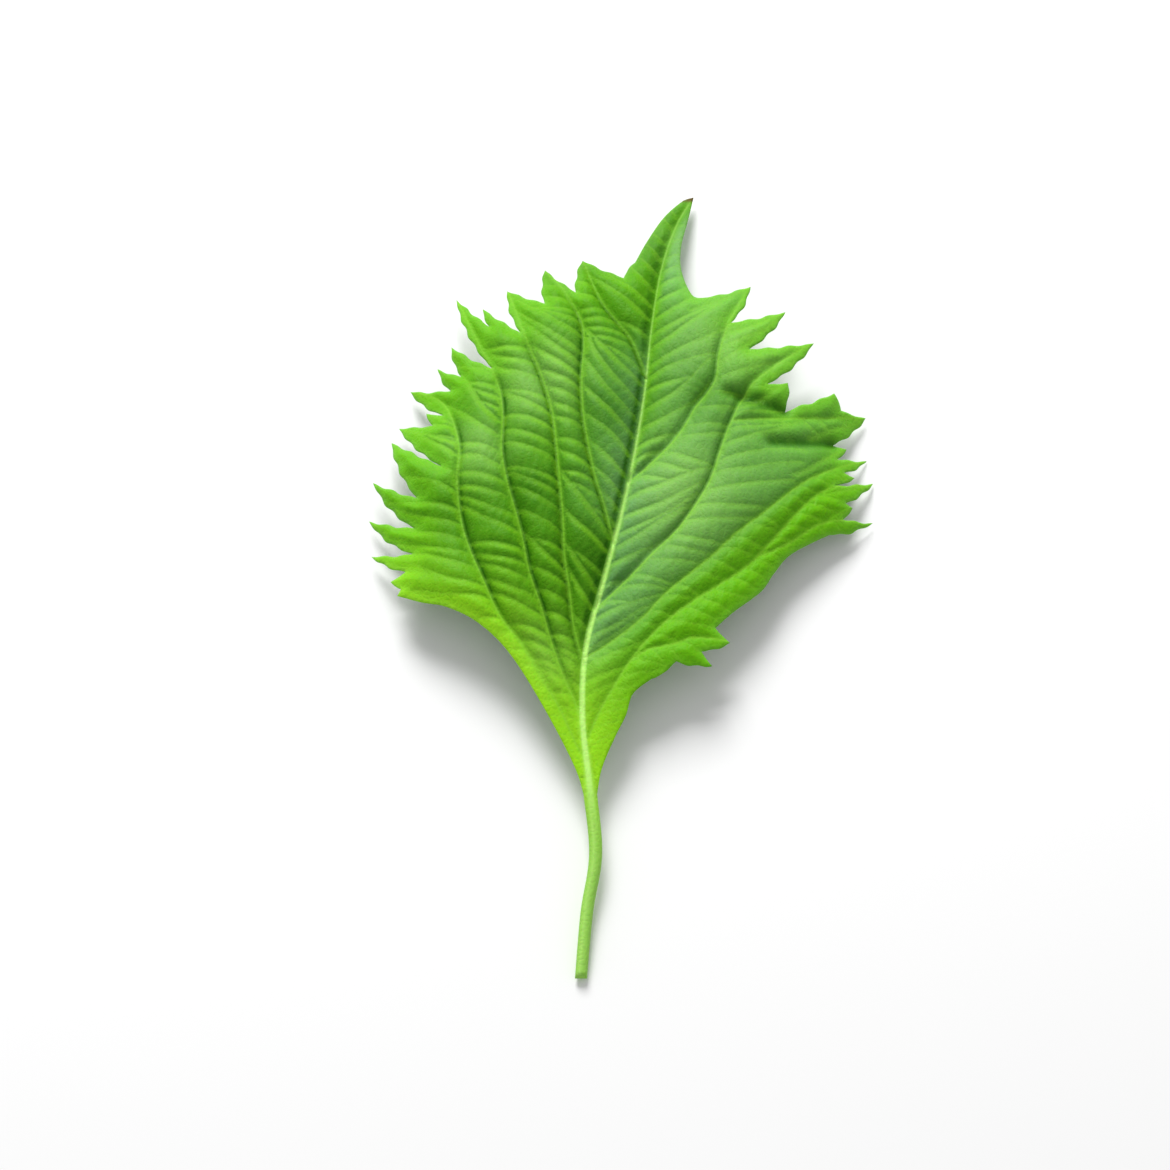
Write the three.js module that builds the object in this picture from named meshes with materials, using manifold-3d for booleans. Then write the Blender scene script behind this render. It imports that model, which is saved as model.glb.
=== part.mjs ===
// One shiso leaf (green perilla), cut from the plant with its stalk and laid down with its
// upper side facing up. Millimetres; +Y runs from the stalk to the leaf's tip and +Z is up.
// The blade, the stalk and the rib that carries the stalk through the blade grew as one
// piece, so they are joined into one closed solid.
//
// The leaf is drawn in plan around the blade's base, at (0, 0). At the end it is moved so that
// the origin lies on the surface under the middle of its box.

import * as THREE from 'three';
import { mergeVertices } from 'three/addons/utils/BufferGeometryUtils.js';
import Module from 'manifold-3d';

const wasm = await Module();
wasm.setup();

// ---- Driving dimensions ----

const BLADE_THICKNESS = 0.4;     // the leaf's flesh between its two skins
const STALK_RADIUS = 0.82;       // at the cut end
const RIB_RADIUS_AT_BASE = 0.95; // where the stalk becomes the midrib
const RIB_RADIUS_AT_TIP = 0.22;
const RIB_DROP = 0.35;           // part of its radius by which the rib sinks to the underside
const RIB_SINKS_BY_Y = 12;       // where along the blade it has sunk that far

const STALK_END_Y = -26;
const RIB_END_Y = 90;            // the rib fades out just before the tip
const TIP_Y = 93.5;

// How the blade arches: each half falls away from the midrib with the square of the distance,
// after a shallow valley along the midrib itself.
const VALLEY_RISE = 0.3;
const VALLEY_WIDTH = 2;
const LEFT_SAG = 0.013;
const RIGHT_SAG = 0.0139;

// Slow waves that lift and drop the margin.
const WAVE_HEIGHT = 1.2;
const WAVE_LENGTH = 23;
const WAVE_REACH = 35;           // distance from the midrib at which the wave has full height
const WAVE_START = -4;
const RIGHT_WAVE_SHIFT = 1.6;

// Mesh fineness.
const GRID_STEP = 2.6;
const FLANK_STEPS = 3;           // straight pieces along one side of a tooth
const RIB_STEPS = 48;
const RIB_SIDES = 10;
const CUTTER_DEPTH = 60;         // the outline's prism, taller than the blade is anywhere

// ---- The midrib's course, from the cut end to the tip ----

// [y, x]: seen from above the stalk bends a little, and the tip leans to the right.
const midribAcross = new THREE.SplineCurve([
  new THREE.Vector2(STALK_END_Y, -1.7),
  new THREE.Vector2(-17, -0.9),
  new THREE.Vector2(-9, 0.3),
  new THREE.Vector2(0, -0.5),
  new THREE.Vector2(10, -1.5),
  new THREE.Vector2(20, -1),
  new THREE.Vector2(30, 1.5),
  new THREE.Vector2(40, 4),
  new THREE.Vector2(50, 6),
  new THREE.Vector2(60, 7.5),
  new THREE.Vector2(70, 8.5),
  new THREE.Vector2(80, 10),
  new THREE.Vector2(88, 12.3),
  new THREE.Vector2(TIP_Y, 15),
]);

// [y, z]: the stalk's end lies on the surface, the blade's middle is held up by its two
// drooping halves, and the tip comes down again.
const midribHeight = new THREE.SplineCurve([
  new THREE.Vector2(STALK_END_Y, 0.32),
  new THREE.Vector2(-14, 1.6),
  new THREE.Vector2(0, 3.4),
  new THREE.Vector2(20, 5.6),
  new THREE.Vector2(40, 6.8),
  new THREE.Vector2(60, 6.2),
  new THREE.Vector2(75, 4.6),
  new THREE.Vector2(TIP_Y, 1.1),
]);

// The curve's second coordinate where its first one, which only grows, equals y.
function valueAt(curve, y) {
  let low = 0;
  let high = 1;
  for (let halving = 0; halving < 24; halving += 1) {
    const middle = (low + high) / 2;
    if (curve.getPoint(middle).x < y) low = middle;
    else high = middle;
  }
  return curve.getPoint((low + high) / 2).y;
}

// Height of the blade's middle layer at a point in plan.
function bladeHeight(x, y) {
  const across = x - valueAt(midribAcross, y);
  const reach = Math.abs(across);
  const valley = VALLEY_RISE * (Math.hypot(across, VALLEY_WIDTH) - VALLEY_WIDTH);
  const sag = (across < 0 ? LEFT_SAG : RIGHT_SAG) * across * across;
  const phase = across < 0 ? 0 : RIGHT_WAVE_SHIFT;
  const swing = Math.sin((2 * Math.PI * (y - WAVE_START)) / WAVE_LENGTH + phase);
  const wave = WAVE_HEIGHT * (reach / WAVE_REACH) ** 2 * swing;
  return valueAt(midribHeight, y) + valley - sag + wave;
}

// ---- The margin, in plan ----

// Both wings leave the stalk with a smooth edge, then the teeth begin.
const LEFT_WING = [
  [-1.1, -0.6], [-2.6, 3], [-6.5, 10.5], [-11.5, 18.5], [-16, 23], [-20.5, 25.5], [-24, 26.5],
];
const RIGHT_WING = [[0.1, -0.6], [1.2, 2.8], [3, 7], [4.5, 10], [5.5, 13], [8, 15]];

// Each tooth is its point and the notch that follows it on the way to the leaf's tip.
// The left margin has small sharp teeth, then long ones, then broad ones near the tip.
const LEFT_TEETH = [
  { point: [-27.5, 28], notch: [-27, 29] },
  { point: [-28.5, 30.5], notch: [-27, 31.5] },
  { point: [-31.5, 35.5], notch: [-26.5, 34] },
  { point: [-32, 41], notch: [-26.5, 38] },
  { point: [-31.5, 46.5], notch: [-26, 42.5] },
  { point: [-29, 53], notch: [-21.5, 47] },
  { point: [-28, 55.5], notch: [-23, 54.5] },
  { point: [-24, 57], notch: [-21.5, 56] },
  { point: [-26.5, 61.5], notch: [-20.5, 60] },
  { point: [-22.5, 64], notch: [-19, 62] },
  { point: [-20.5, 67], notch: [-14.5, 62.5] },
  { point: [-20, 76], notch: [-15, 69.5] },
  { point: [-16, 73], notch: [-10.5, 68] },
  { point: [-12.5, 76], notch: [-7, 73] },
  { point: [-7, 79.5], notch: [-2.5, 75] },
  { point: [-1.5, 81], notch: [4.5, 78] },
];

// The right margin's lower edge is rolled under, so it is smooth between its first teeth
// and the long outer ones.
const RIGHT_LOW_TEETH = [
  { point: [10.5, 16.5], notch: [11.5, 17.5] },
  { point: [16.5, 17], notch: [15, 19] },
  { point: [19, 20.5], notch: [17, 22.5] },
];
const RIGHT_ROLLED_EDGE = [[19.5, 25], [23.5, 28.5], [25.5, 31.5], [28, 34.5], [33.5, 38]];
const RIGHT_TEETH = [
  { point: [40, 41], notch: [35.5, 40.5] },
  { point: [37, 42.5], notch: [36, 43] },
  { point: [40.3, 47.4], notch: [34.5, 45.5] },
  { point: [37.5, 47.5], notch: [36, 48] },
  { point: [39.5, 51], notch: [35, 50] },
  { point: [36.5, 52], notch: [34.5, 52.5] },
  { point: [39.5, 57.5], notch: [35.8, 57.7] },
  { point: [34.8, 60], notch: [27.5, 56.3] },
  { point: [28, 60.5], notch: [25, 60] },
  { point: [32, 67.5], notch: [22.5, 65.5] },
  { point: [28, 72.5], notch: [20, 70] },
  { point: [23, 76.5], notch: [16.5, 74.5] },
];

// The drawn-out tip, from the last notch on each side to its point.
const TIP_LEFT_SIDE = [[6.2, 81], [8, 85], [10.5, 89.5], [13.3, 92.7]];
const TIP_RIGHT_SIDE = [[14.5, 75], [13, 79.5], [13, 84], [14.2, 89.5]];
const TIP_POINT = [15, TIP_Y];

const TOOTH_BELLY = 0.07;        // how far a tooth's lower side swells, as a part of its length
const TOOTH_HOLLOW = 0.03;       // how far its upper side is hollowed

// A smooth edge from where the outline stands through the given points.
function edgeThrough(outline, points) {
  const start = outline.currentPoint.clone();
  const edge = new THREE.SplineCurve([start, ...points.map(([x, y]) => new THREE.Vector2(x, y))]);
  edge.getPoints(points.length * 2).slice(1).forEach((spot) => outline.lineTo(spot.x, spot.y));
}

// A curved edge from where the outline stands to the target. Swell moves its middle to the
// right of the way it goes, as a part of its length.
function flankTo(outline, [x, y], swell) {
  const start = outline.currentPoint.clone();
  const way = new THREE.Vector2(x, y).sub(start);
  const bend = new THREE.Vector2(way.y, -way.x).multiplyScalar(swell * 2);
  const middle = start.clone().addScaledVector(way, 0.5).add(bend);
  const flank = new THREE.QuadraticBezierCurve(start, middle, new THREE.Vector2(x, y));
  flank.getPoints(FLANK_STEPS).slice(1).forEach((spot) => outline.lineTo(spot.x, spot.y));
}

function climbTeeth(outline, teeth) {
  for (const { point, notch } of teeth) {
    flankTo(outline, point, TOOTH_BELLY);
    flankTo(outline, notch, -TOOTH_HOLLOW);
  }
}

function descendTeeth(outline, teeth) {
  for (const { point, notch } of [...teeth].reverse()) {
    flankTo(outline, notch, TOOTH_BELLY);
    flankTo(outline, point, -TOOTH_HOLLOW);
  }
}

// The outline runs counter-clockwise: up the right margin to the tip and down the left one.
function bladeOutline() {
  const outline = new THREE.Shape();
  outline.moveTo(...RIGHT_WING[0]);
  edgeThrough(outline, RIGHT_WING.slice(1));
  climbTeeth(outline, RIGHT_LOW_TEETH);
  edgeThrough(outline, RIGHT_ROLLED_EDGE);
  climbTeeth(outline, RIGHT_TEETH);
  edgeThrough(outline, [...TIP_RIGHT_SIDE, TIP_POINT]);
  edgeThrough(outline, [...TIP_LEFT_SIDE].reverse());
  descendTeeth(outline, LEFT_TEETH);
  edgeThrough(outline, [...LEFT_WING].reverse());
  return outline;
}

// ---- Solids ----

function toSolid(geometry) {
  const bare = geometry.clone();
  bare.deleteAttribute('normal');
  bare.deleteAttribute('uv');
  const merged = mergeVertices(bare, 1e-4);
  return new wasm.Manifold(new wasm.Mesh({
    numProp: 3,
    vertProperties: new Float32Array(merged.attributes.position.array),
    triVerts: new Uint32Array(merged.index.array),
  }));
}

function toGeometry(solid) {
  const mesh = solid.getMesh();
  const geometry = new THREE.BufferGeometry();
  geometry.setAttribute('position', new THREE.BufferAttribute(mesh.vertProperties, 3));
  geometry.setIndex(new THREE.BufferAttribute(mesh.triVerts, 1));
  geometry.computeVertexNormals();
  return geometry;
}

// Moves every vertex of a geometry to where place(vertex) puts it.
function reshape(geometry, place) {
  const positions = geometry.attributes.position;
  const vertex = new THREE.Vector3();
  for (let index = 0; index < positions.count; index += 1) {
    vertex.fromBufferAttribute(positions, index);
    place(vertex);
    positions.setXYZ(index, vertex.x, vertex.y, vertex.z);
  }
  return geometry;
}

// A curved sheet larger than the blade: a flat box whose vertices are lifted to the blade's
// height, half the thickness above and below its middle layer.
function curvedSheet(outlineBox) {
  const size = outlineBox.getSize(new THREE.Vector2()).addScalar(2 * GRID_STEP);
  const middle = outlineBox.getCenter(new THREE.Vector2());
  const columns = Math.round(size.x / GRID_STEP);
  const rows = Math.round(size.y / GRID_STEP);
  const box = new THREE.BoxGeometry(size.x, size.y, BLADE_THICKNESS, columns, rows, 1);
  return reshape(box, (vertex) => {
    vertex.x += middle.x;
    vertex.y += middle.y;
    vertex.z += bladeHeight(vertex.x, vertex.y);
  });
}

function bladeSolid() {
  const outline = bladeOutline();
  const points = outline.getPoints();
  const sheet = toSolid(curvedSheet(new THREE.Box2().setFromPoints(points)));
  const prism = new THREE.ExtrudeGeometry(outline, { depth: CUTTER_DEPTH, bevelEnabled: false });
  prism.translate(0, 0, -CUTTER_DEPTH / 2);
  return sheet.intersect(toSolid(prism));
}

// Radius of the stalk and of the rib that it becomes, at a place along the leaf.
function ribRadius(y) {
  if (y < 0) return THREE.MathUtils.mapLinear(y, STALK_END_Y, 0, STALK_RADIUS, RIB_RADIUS_AT_BASE);
  const along = y / TIP_Y;
  return THREE.MathUtils.lerp(RIB_RADIUS_AT_BASE, RIB_RADIUS_AT_TIP, along ** 0.6);
}

// The stalk and midrib: a cylinder standing along Y whose rings follow the midrib's course.
function stalkSolid() {
  const tube = new THREE.CylinderGeometry(1, 1, RIB_END_Y - STALK_END_Y, RIB_SIDES, RIB_STEPS);
  tube.translate(0, (RIB_END_Y + STALK_END_Y) / 2, 0);
  return toSolid(reshape(tube, (vertex) => {
    const radius = ribRadius(vertex.y);
    const drop = RIB_DROP * THREE.MathUtils.smoothstep(vertex.y, 0, RIB_SINKS_BY_Y) * radius;
    vertex.x = valueAt(midribAcross, vertex.y) + vertex.x * radius;
    vertex.z = valueAt(midribHeight, vertex.y) - drop + vertex.z * radius;
  }));
}

// ---- The leaf ----

const leafGeometry = toGeometry(bladeSolid().add(stalkSolid()));
leafGeometry.computeBoundingBox();
const leafBox = leafGeometry.boundingBox;
const centre = leafBox.getCenter(new THREE.Vector3());
leafGeometry.translate(-centre.x, -centre.y, -leafBox.min.z);

const leafMaterial = new THREE.MeshStandardMaterial({ color: 0x5ea02c, roughness: 0.5, metalness: 0 });

const leaf = new THREE.Mesh(leafGeometry, leafMaterial);
leaf.name = 'shiso_leaf';

const part = new THREE.Group();
part.add(leaf);

export default part;
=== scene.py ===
# %% [markdown]
# # A shiso leaf
#
# One leaf of green perilla, picked with its stalk and laid on a pale surface. It is a thin,
# puckered sheet: a pale midrib carries the stalk up through the blade, side veins fan out from
# it, and fine rungs cross from vein to vein with the flesh bulging between them.
#
# The whole leaf is one closed mesh, because blade and stalk grew as one piece. Lengths in this
# file are millimetres until the mesh is made, and metres after that.

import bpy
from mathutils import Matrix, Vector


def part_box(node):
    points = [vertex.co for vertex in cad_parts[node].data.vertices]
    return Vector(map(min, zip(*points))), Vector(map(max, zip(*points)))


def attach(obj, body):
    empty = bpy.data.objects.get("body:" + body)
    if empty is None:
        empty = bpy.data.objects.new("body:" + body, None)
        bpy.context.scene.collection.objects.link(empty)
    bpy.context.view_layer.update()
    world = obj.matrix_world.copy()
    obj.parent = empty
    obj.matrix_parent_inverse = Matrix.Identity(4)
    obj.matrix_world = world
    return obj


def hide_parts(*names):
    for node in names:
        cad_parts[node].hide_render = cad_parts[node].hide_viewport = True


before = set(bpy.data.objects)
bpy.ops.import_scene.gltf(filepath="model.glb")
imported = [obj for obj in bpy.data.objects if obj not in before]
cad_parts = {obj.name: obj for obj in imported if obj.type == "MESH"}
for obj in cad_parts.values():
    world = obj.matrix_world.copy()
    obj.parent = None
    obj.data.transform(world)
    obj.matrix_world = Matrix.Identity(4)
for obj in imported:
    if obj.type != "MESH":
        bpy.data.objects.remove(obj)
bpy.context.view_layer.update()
leaf_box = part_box("shiso_leaf")
print("frame nodes:", list(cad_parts))
print("leaf box in metres:", leaf_box)

# %% [markdown]
# ## Tools for curves
#
# A leaf has no straight lines, so almost everything below starts as a few points with a smooth
# curve through them. A Catmull-Rom curve passes through every point it is given, which makes it
# easier to steer by hand than a Bezier curve with separate handles.

# %% A smooth curve through chosen points
import math
import random

import bpy
import numpy as np
from mathutils import Vector, geometry, kdtree


def curve_through(points, step):
    """A Catmull-Rom curve through the points, with a vertex about every step millimetres."""
    points = np.array(points, float)
    padded = np.vstack([points[:1], points, points[-1:]])
    pieces = [points[:1]]
    for before, start, end, after in zip(padded, padded[1:], padded[2:], padded[3:]):
        count = max(1, math.ceil(np.linalg.norm(end - start) / step))
        t = (np.arange(1, count + 1) / count)[:, None]
        leave = (end - before) / 2
        arrive = (after - start) / 2
        cubic = (2 * start - 2 * end + leave + arrive) * t**3
        square = (3 * end - 3 * start - 2 * leave - arrive) * t**2
        pieces.append(cubic + square + leave * t + start)
    return np.vstack(pieces)


def ease(value, low, high):
    """0 below low, 1 above high, and a smooth rise between them."""
    t = np.clip((value - low) / (high - low), 0, 1)
    return t * t * (3 - 2 * t)


print("a curve through three points has", len(curve_through([(0, 0), (5, 2), (9, 0)], 0.5)), "vertices")

# %% [markdown]
# ## The midrib's course
#
# The stalk lies on the surface at its cut end and lifts towards the blade. Seen from above it
# bends a little and the leaf's tip leans to the right. Two curves say this: one gives how far
# across the midrib lies at each place along the leaf, the other how high.

# %% Midrib, across and up
STALK_END_Y = -26.0
TIP_Y = 93.5
STALK_RADIUS = 0.82          # at the cut end
RIB_RADIUS_AT_BASE = 0.95    # where the stalk becomes the midrib
RIB_THINNING = 0.73          # how much of that is gone at the tip

# Each pair is a place along the leaf, and x or z there.
MIDRIB_ACROSS = [
    (STALK_END_Y, -1.7), (-17, -0.9), (-9, 0.3), (0, -0.5), (10, -1.5), (20, -1), (30, 1.5),
    (40, 4), (50, 6), (60, 7.5), (70, 8.5), (80, 10), (88, 12.3), (TIP_Y, 15),
]
MIDRIB_HEIGHT = [
    (STALK_END_Y, 0.32), (-14, 1.6), (0, 3.4), (20, 5.6), (40, 6.8), (60, 6.2), (75, 4.6),
    (TIP_Y, 1.1),
]
across_curve = curve_through(MIDRIB_ACROSS, 0.5)
height_curve = curve_through(MIDRIB_HEIGHT, 0.5)


def midrib_x(y):
    return np.interp(y, across_curve[:, 0], across_curve[:, 1])


def midrib_z(y):
    return np.interp(y, height_curve[:, 0], height_curve[:, 1])


def rib_radius(y):
    """Radius of the stalk, and of the rib that it becomes inside the blade."""
    below = np.interp(y, [STALK_END_Y, 0], [STALK_RADIUS, RIB_RADIUS_AT_BASE])
    above = RIB_RADIUS_AT_BASE - RIB_THINNING * np.clip(y / TIP_Y, 0, 1) ** 0.6
    return np.where(y < 0, below, above)


print("midrib at mid leaf:", round(float(midrib_x(40)), 2), round(float(midrib_z(40)), 2))

# %% [markdown]
# ## The margin
#
# A shiso leaf is known by its saw teeth, each one bellied below and hollow above, pointing to
# the tip. They could be cut with a repeating pattern, but real teeth differ: long ones and
# small ones, close set and wide apart. So each tooth is named by its point and by the notch
# that follows it, and the two sides of every tooth are drawn by the same rule.

# %% Points of the margin
LEFT_WING = [(-2.6, 3), (-6.5, 10.5), (-11.5, 18.5), (-16, 23), (-20.5, 25.5), (-24, 26.5)]
RIGHT_WING = [(1.2, 2.8), (3, 7), (4.5, 10), (5.5, 13), (8, 15)]

# Each tooth is its point and the notch that follows it on the way to the leaf's tip.
LEFT_TEETH = [
    ((-27.5, 28), (-27, 29)), ((-28.5, 30.5), (-26.4, 31.7)), ((-31.5, 35.5), (-25.4, 34.4)),
    ((-32, 41), (-25.3, 38.4)), ((-31.5, 46.5), (-25, 42.8)), ((-29, 53), (-21.5, 47)),
    ((-28, 55.5), (-23, 54.5)), ((-24, 57), (-21.5, 56)), ((-26.5, 61.5), (-20.5, 60)),
    ((-22.5, 64), (-19, 62)), ((-20.5, 67), (-14.5, 62.5)), ((-20, 76), (-15, 69.5)),
    ((-16, 73), (-10.5, 68)), ((-12.5, 76), (-7, 73)), ((-7, 79.5), (-2.5, 75)),
    ((-1.5, 81), (4.5, 78)),
]
RIGHT_LOW_TEETH = [((10.5, 16.5), (11.5, 17.5)), ((16.5, 17), (15, 19)), ((19, 20.5), (17, 22.5))]
RIGHT_ROLLED_EDGE = [(19.5, 25), (23.5, 28.5), (25.5, 31.5), (28, 34.5), (33.5, 38)]
RIGHT_TEETH = [
    ((40, 41), (35.5, 40.5)), ((37, 42.5), (36, 43)), ((40.3, 47.4), (34.5, 45.5)),
    ((37.5, 47.5), (36, 48)), ((39.5, 51), (35, 50)), ((36.5, 52), (34.5, 52.5)),
    ((39.5, 57.5), (35.8, 57.7)), ((34.8, 60), (27.5, 56.3)), ((28, 60.5), (25, 60)),
    ((32, 67.5), (22.5, 65.5)), ((28, 72.5), (20, 70)), ((23, 76.5), (16.5, 74.5)),
]
TIP_RIGHT_SIDE = [(14.5, 75), (13, 79.5), (13, 84), (14.2, 89.5), (15, TIP_Y)]
TIP_LEFT_SIDE = [(13.3, 92.7), (10.5, 89.5), (8, 85), (6.2, 81)]

EDGE_STEP = 0.3       # distance between vertices on the margin
STALK_STEP = 0.4      # distance between vertices along the stalk
STALK_TOP_Y = -0.7    # where the stalk's sides hand over to the blade's wings
TOOTH_BELLY = 0.07    # how far a tooth's lower side swells, as a part of its length
TOOTH_HOLLOW = 0.03   # how far its upper side is hollowed
EDGE_RIPPLE = 0.16    # unevenness of a long side
RIPPLE_TURN = 1.9     # radians of the ripple per millimetre

print(len(LEFT_TEETH), "teeth on the left,", len(RIGHT_LOW_TEETH + RIGHT_TEETH), "on the right")


# %% Join the margin into one outline
def add_edge(outline, points):
    """A smooth edge from where the outline stands through the points."""
    outline.extend(curve_through([outline[-1]] + points, EDGE_STEP)[1:].tolist())


def add_flank(outline, end, swell):
    """One side of a tooth: swell bends its middle to the right, and long sides ripple."""
    start = np.array(outline[-1])
    end = np.array(end, float)
    way = end - start
    length = np.linalg.norm(way)
    side = np.array([way[1], -way[0]])
    middle = (start + end) / 2 + side * swell * 2
    count = max(2, math.ceil(length / EDGE_STEP))
    t = (np.arange(1, count + 1) / count)[:, None]
    curve = (1 - t) ** 2 * start + 2 * t * (1 - t) * middle + t**2 * end
    height = EDGE_RIPPLE * ease(length, 2, 5) * np.sin(np.pi * t)
    ripple = height * np.sin(length * RIPPLE_TURN * t + start[0])
    outline.extend((curve + side / length * ripple).tolist())


def draw_outline():
    """Counter-clockwise: up the right side from the cut end, over the tip, down the left."""
    stalk_y = np.arange(STALK_END_Y, STALK_TOP_Y, STALK_STEP)
    right = midrib_x(stalk_y) + rib_radius(stalk_y)
    left = midrib_x(stalk_y) - rib_radius(stalk_y)
    outline = np.column_stack([right, stalk_y]).tolist()
    add_edge(outline, RIGHT_WING)
    for point, notch in RIGHT_LOW_TEETH:
        add_flank(outline, point, TOOTH_BELLY)
        add_flank(outline, notch, -TOOTH_HOLLOW)
    add_edge(outline, RIGHT_ROLLED_EDGE)
    for point, notch in RIGHT_TEETH:
        add_flank(outline, point, TOOTH_BELLY)
        add_flank(outline, notch, -TOOTH_HOLLOW)
    add_edge(outline, TIP_RIGHT_SIDE)
    add_edge(outline, TIP_LEFT_SIDE)
    for point, notch in reversed(LEFT_TEETH):
        add_flank(outline, notch, TOOTH_BELLY)
        add_flank(outline, point, -TOOTH_HOLLOW)
    add_edge(outline, LEFT_WING[::-1] + [(left[-1], stalk_y[-1])])
    outline.extend(np.column_stack([left, stalk_y])[-2::-1].tolist())
    return np.array(outline)


outline = draw_outline()
print("the outline has", len(outline), "vertices")

# %% [markdown]
# ## Where is a point?
#
# The rest of the leaf is laid out inside this outline, so two questions come up again and again:
# is a point on the leaf, and how far is it from the margin or from a vein? Counting the edges
# that a ray crosses answers the first. A search tree answers the second much faster than
# measuring to every vertex.

# %% Which points lie inside the outline
def inside(points):
    """True for each point that a ray to the right leaves through an odd number of edges."""
    result = np.zeros(len(points), bool)
    ends = np.roll(outline, -1, axis=0)
    for (x0, y0), (x1, y1) in zip(outline, ends):
        if y0 == y1:
            continue
        crosses = (y0 > points[:, 1]) != (y1 > points[:, 1])
        edge_x = x0 + (points[:, 1] - y0) * (x1 - x0) / (y1 - y0)
        result ^= crosses & (points[:, 0] < edge_x)
    return result


def make_tree(points):
    """A search tree that finds the nearest of many points quickly."""
    tree = kdtree.KDTree(len(points))
    for index, (x, y) in enumerate(points):
        tree.insert((x, y, 0), index)
    tree.balance()
    return tree


def distances(tree, points):
    return np.array([tree.find((x, y, 0))[2] for x, y in points])


edge_tree = make_tree(outline)
print("middle of the blade is inside:", bool(inside(np.array([[5.0, 40.0]]))[0]))

# %% [markdown]
# ## Veins
#
# The side veins leave the midrib low down and sweep up towards the tip, so the blade is divided
# into long curved panels. They give this one leaf its look, so each is drawn through a
# few listed points.

# %% The side veins
SIDE_VEINS = {
    "left_basal": [(-0.8, 3.5), (-2.3, 6), (-4.6, 11), (-7, 15), (-10, 20), (-13, 24), (-15.5, 29.5),
                   (-17.5, 34.5), (-18.7, 39), (-19.3, 45), (-19.2, 51), (-21.5, 58), (-26, 61.3)],
    "left_second": [(-1.4, 9), (-2.7, 12.5), (-4.3, 16), (-6, 21), (-7.3, 25.5), (-9, 30.5), (-10, 35.5),
                    (-11, 39.5), (-12.2, 44), (-13, 49), (-13, 56), (-14, 61), (-17, 68), (-19.8, 75.5)],
    "left_third": [(-1.4, 18), (-2.7, 23), (-3.3, 28), (-4, 33), (-4.2, 38), (-4.6, 43), (-5.2, 50),
                   (-5.8, 55), (-7.4, 61), (-10, 68), (-12.3, 75.5)],
    "left_fourth": [(2.8, 36), (1.6, 40.7), (0.3, 45), (-0.7, 50), (-1.4, 55), (-1.6, 61), (-1.3, 65.5),
                    (-1.6, 70), (-4, 75), (-6.8, 79)],
    "left_fifth": [(7.6, 62), (5.6, 67.4), (3.6, 70.3), (1.6, 73.2), (0, 76.8), (-1.3, 80.5)],
    "right_tip": [(5.5, 45), (8.6, 47.8), (11, 50.2), (13, 53), (14.6, 56), (16.5, 58.5), (17.7, 61),
                  (18.2, 65), (19.7, 70), (22.6, 76)],
    "right_upper": [(0.7, 26), (2.5, 27.6), (5.3, 30.3), (8.6, 33.7), (12, 37.1), (15, 41.5), (16.8, 45),
                    (18.2, 49.5), (19.8, 54), (23, 60), (31.5, 67.2)],
    "right_middle": [(-1.2, 18.5), (2.4, 20.6), (6.6, 23.7), (10.3, 27.7), (14, 30.8), (17, 33.5),
                     (20, 36.5), (25, 40.7), (31, 46), (39, 50.8)],
    "right_lower": [(-0.8, 7), (1, 11), (3, 14.4), (4.7, 17.2), (7, 20.2), (9.5, 22.8), (12, 25), (15, 27.2),
                    (20.3, 31), (23, 33.5), (26.5, 37.6), (30, 41.7), (33.5, 44.7), (40.5, 47.3)],
    "right_small": [(5.2, 17.8), (7.5, 19.3), (11, 20), (14, 21), (18.6, 20.7)],
    "right_lobe": [(19.8, 54), (24, 54.6), (30, 55.4), (39, 57.3)],
    "right_hem": [(23, 33.5), (27.5, 35.8), (33, 39.6), (40.5, 41.3)],
}
VEIN_STEP = 0.15

# The blade drops a little right beside these veins: 1 on their right-hand side, -1 on their left.
DROP_SIDES = {
    "left_basal": 1, "left_second": 1, "left_third": -1, "left_fourth": -1, "left_fifth": -1,
    "right_tip": -1, "right_upper": -1,
}

vein_lines = {name: curve_through(points, VEIN_STEP) for name, points in SIDE_VEINS.items()}
rib_y = np.arange(0, TIP_Y - 1, VEIN_STEP)
midrib_line = np.column_stack([midrib_x(rib_y), rib_y])
print("side veins:", ", ".join(vein_lines))

# %% [markdown]
# ## Small veins
#
# There are hundreds of small veins, far too many to draw. They are grown instead: a rung starts
# on one vein and wanders out and up until it meets the next one, which is near enough to how a
# leaf lays them down that the net looks right. The seed was chosen for the most even cover.

# %% Grow a small vein
GROWTH_STEP = 0.3    # length of one step of a growing vein
CLEARANCE = 0.28     # a vein stops when it comes this close to the edge or to another vein
FREE_STEPS = 3       # first steps, in which it may still be close to the vein it left


def grow_vein(start, heading, turn, wander, tree, longest, chance, neighbours=()):
    """Walks from start until it meets a vein of the tree, a neighbour or the edge."""
    angle = math.atan2(heading[1], heading[0])
    spot = np.array(start, float)
    path = [spot]
    nearby = np.vstack(neighbours) if len(neighbours) else np.zeros((0, 2))
    nearby = nearby[np.hypot(*(nearby - spot).T) < longest]
    for count in range(int(longest / GROWTH_STEP)):
        angle += turn * GROWTH_STEP + chance.gauss(0, wander)
        spot = spot + GROWTH_STEP * np.array([math.cos(angle), math.sin(angle)])
        away = count >= FREE_STEPS
        if away and edge_tree.find((spot[0], spot[1], 0))[2] < CLEARANCE:
            break
        nearest, _, gap = tree.find((spot[0], spot[1], 0))
        path.append(spot)
        if away and gap < CLEARANCE:
            path.append(np.array(nearest[:2]))
            break
        if away and len(nearby) and np.hypot(*(nearby - spot).T).min() < CLEARANCE:
            break
    return curve_through(path, VEIN_STEP)


# %% A vein into every tooth
TOOTH_VEIN_INSET = 0.6       # how far inside the tooth's point its vein starts
TOOTH_VEIN_LONGEST = 9
TOOTH_VEIN_TURN = 0.03       # radians per millimetre
TOOTH_VEIN_WANDER = 0.02


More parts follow.
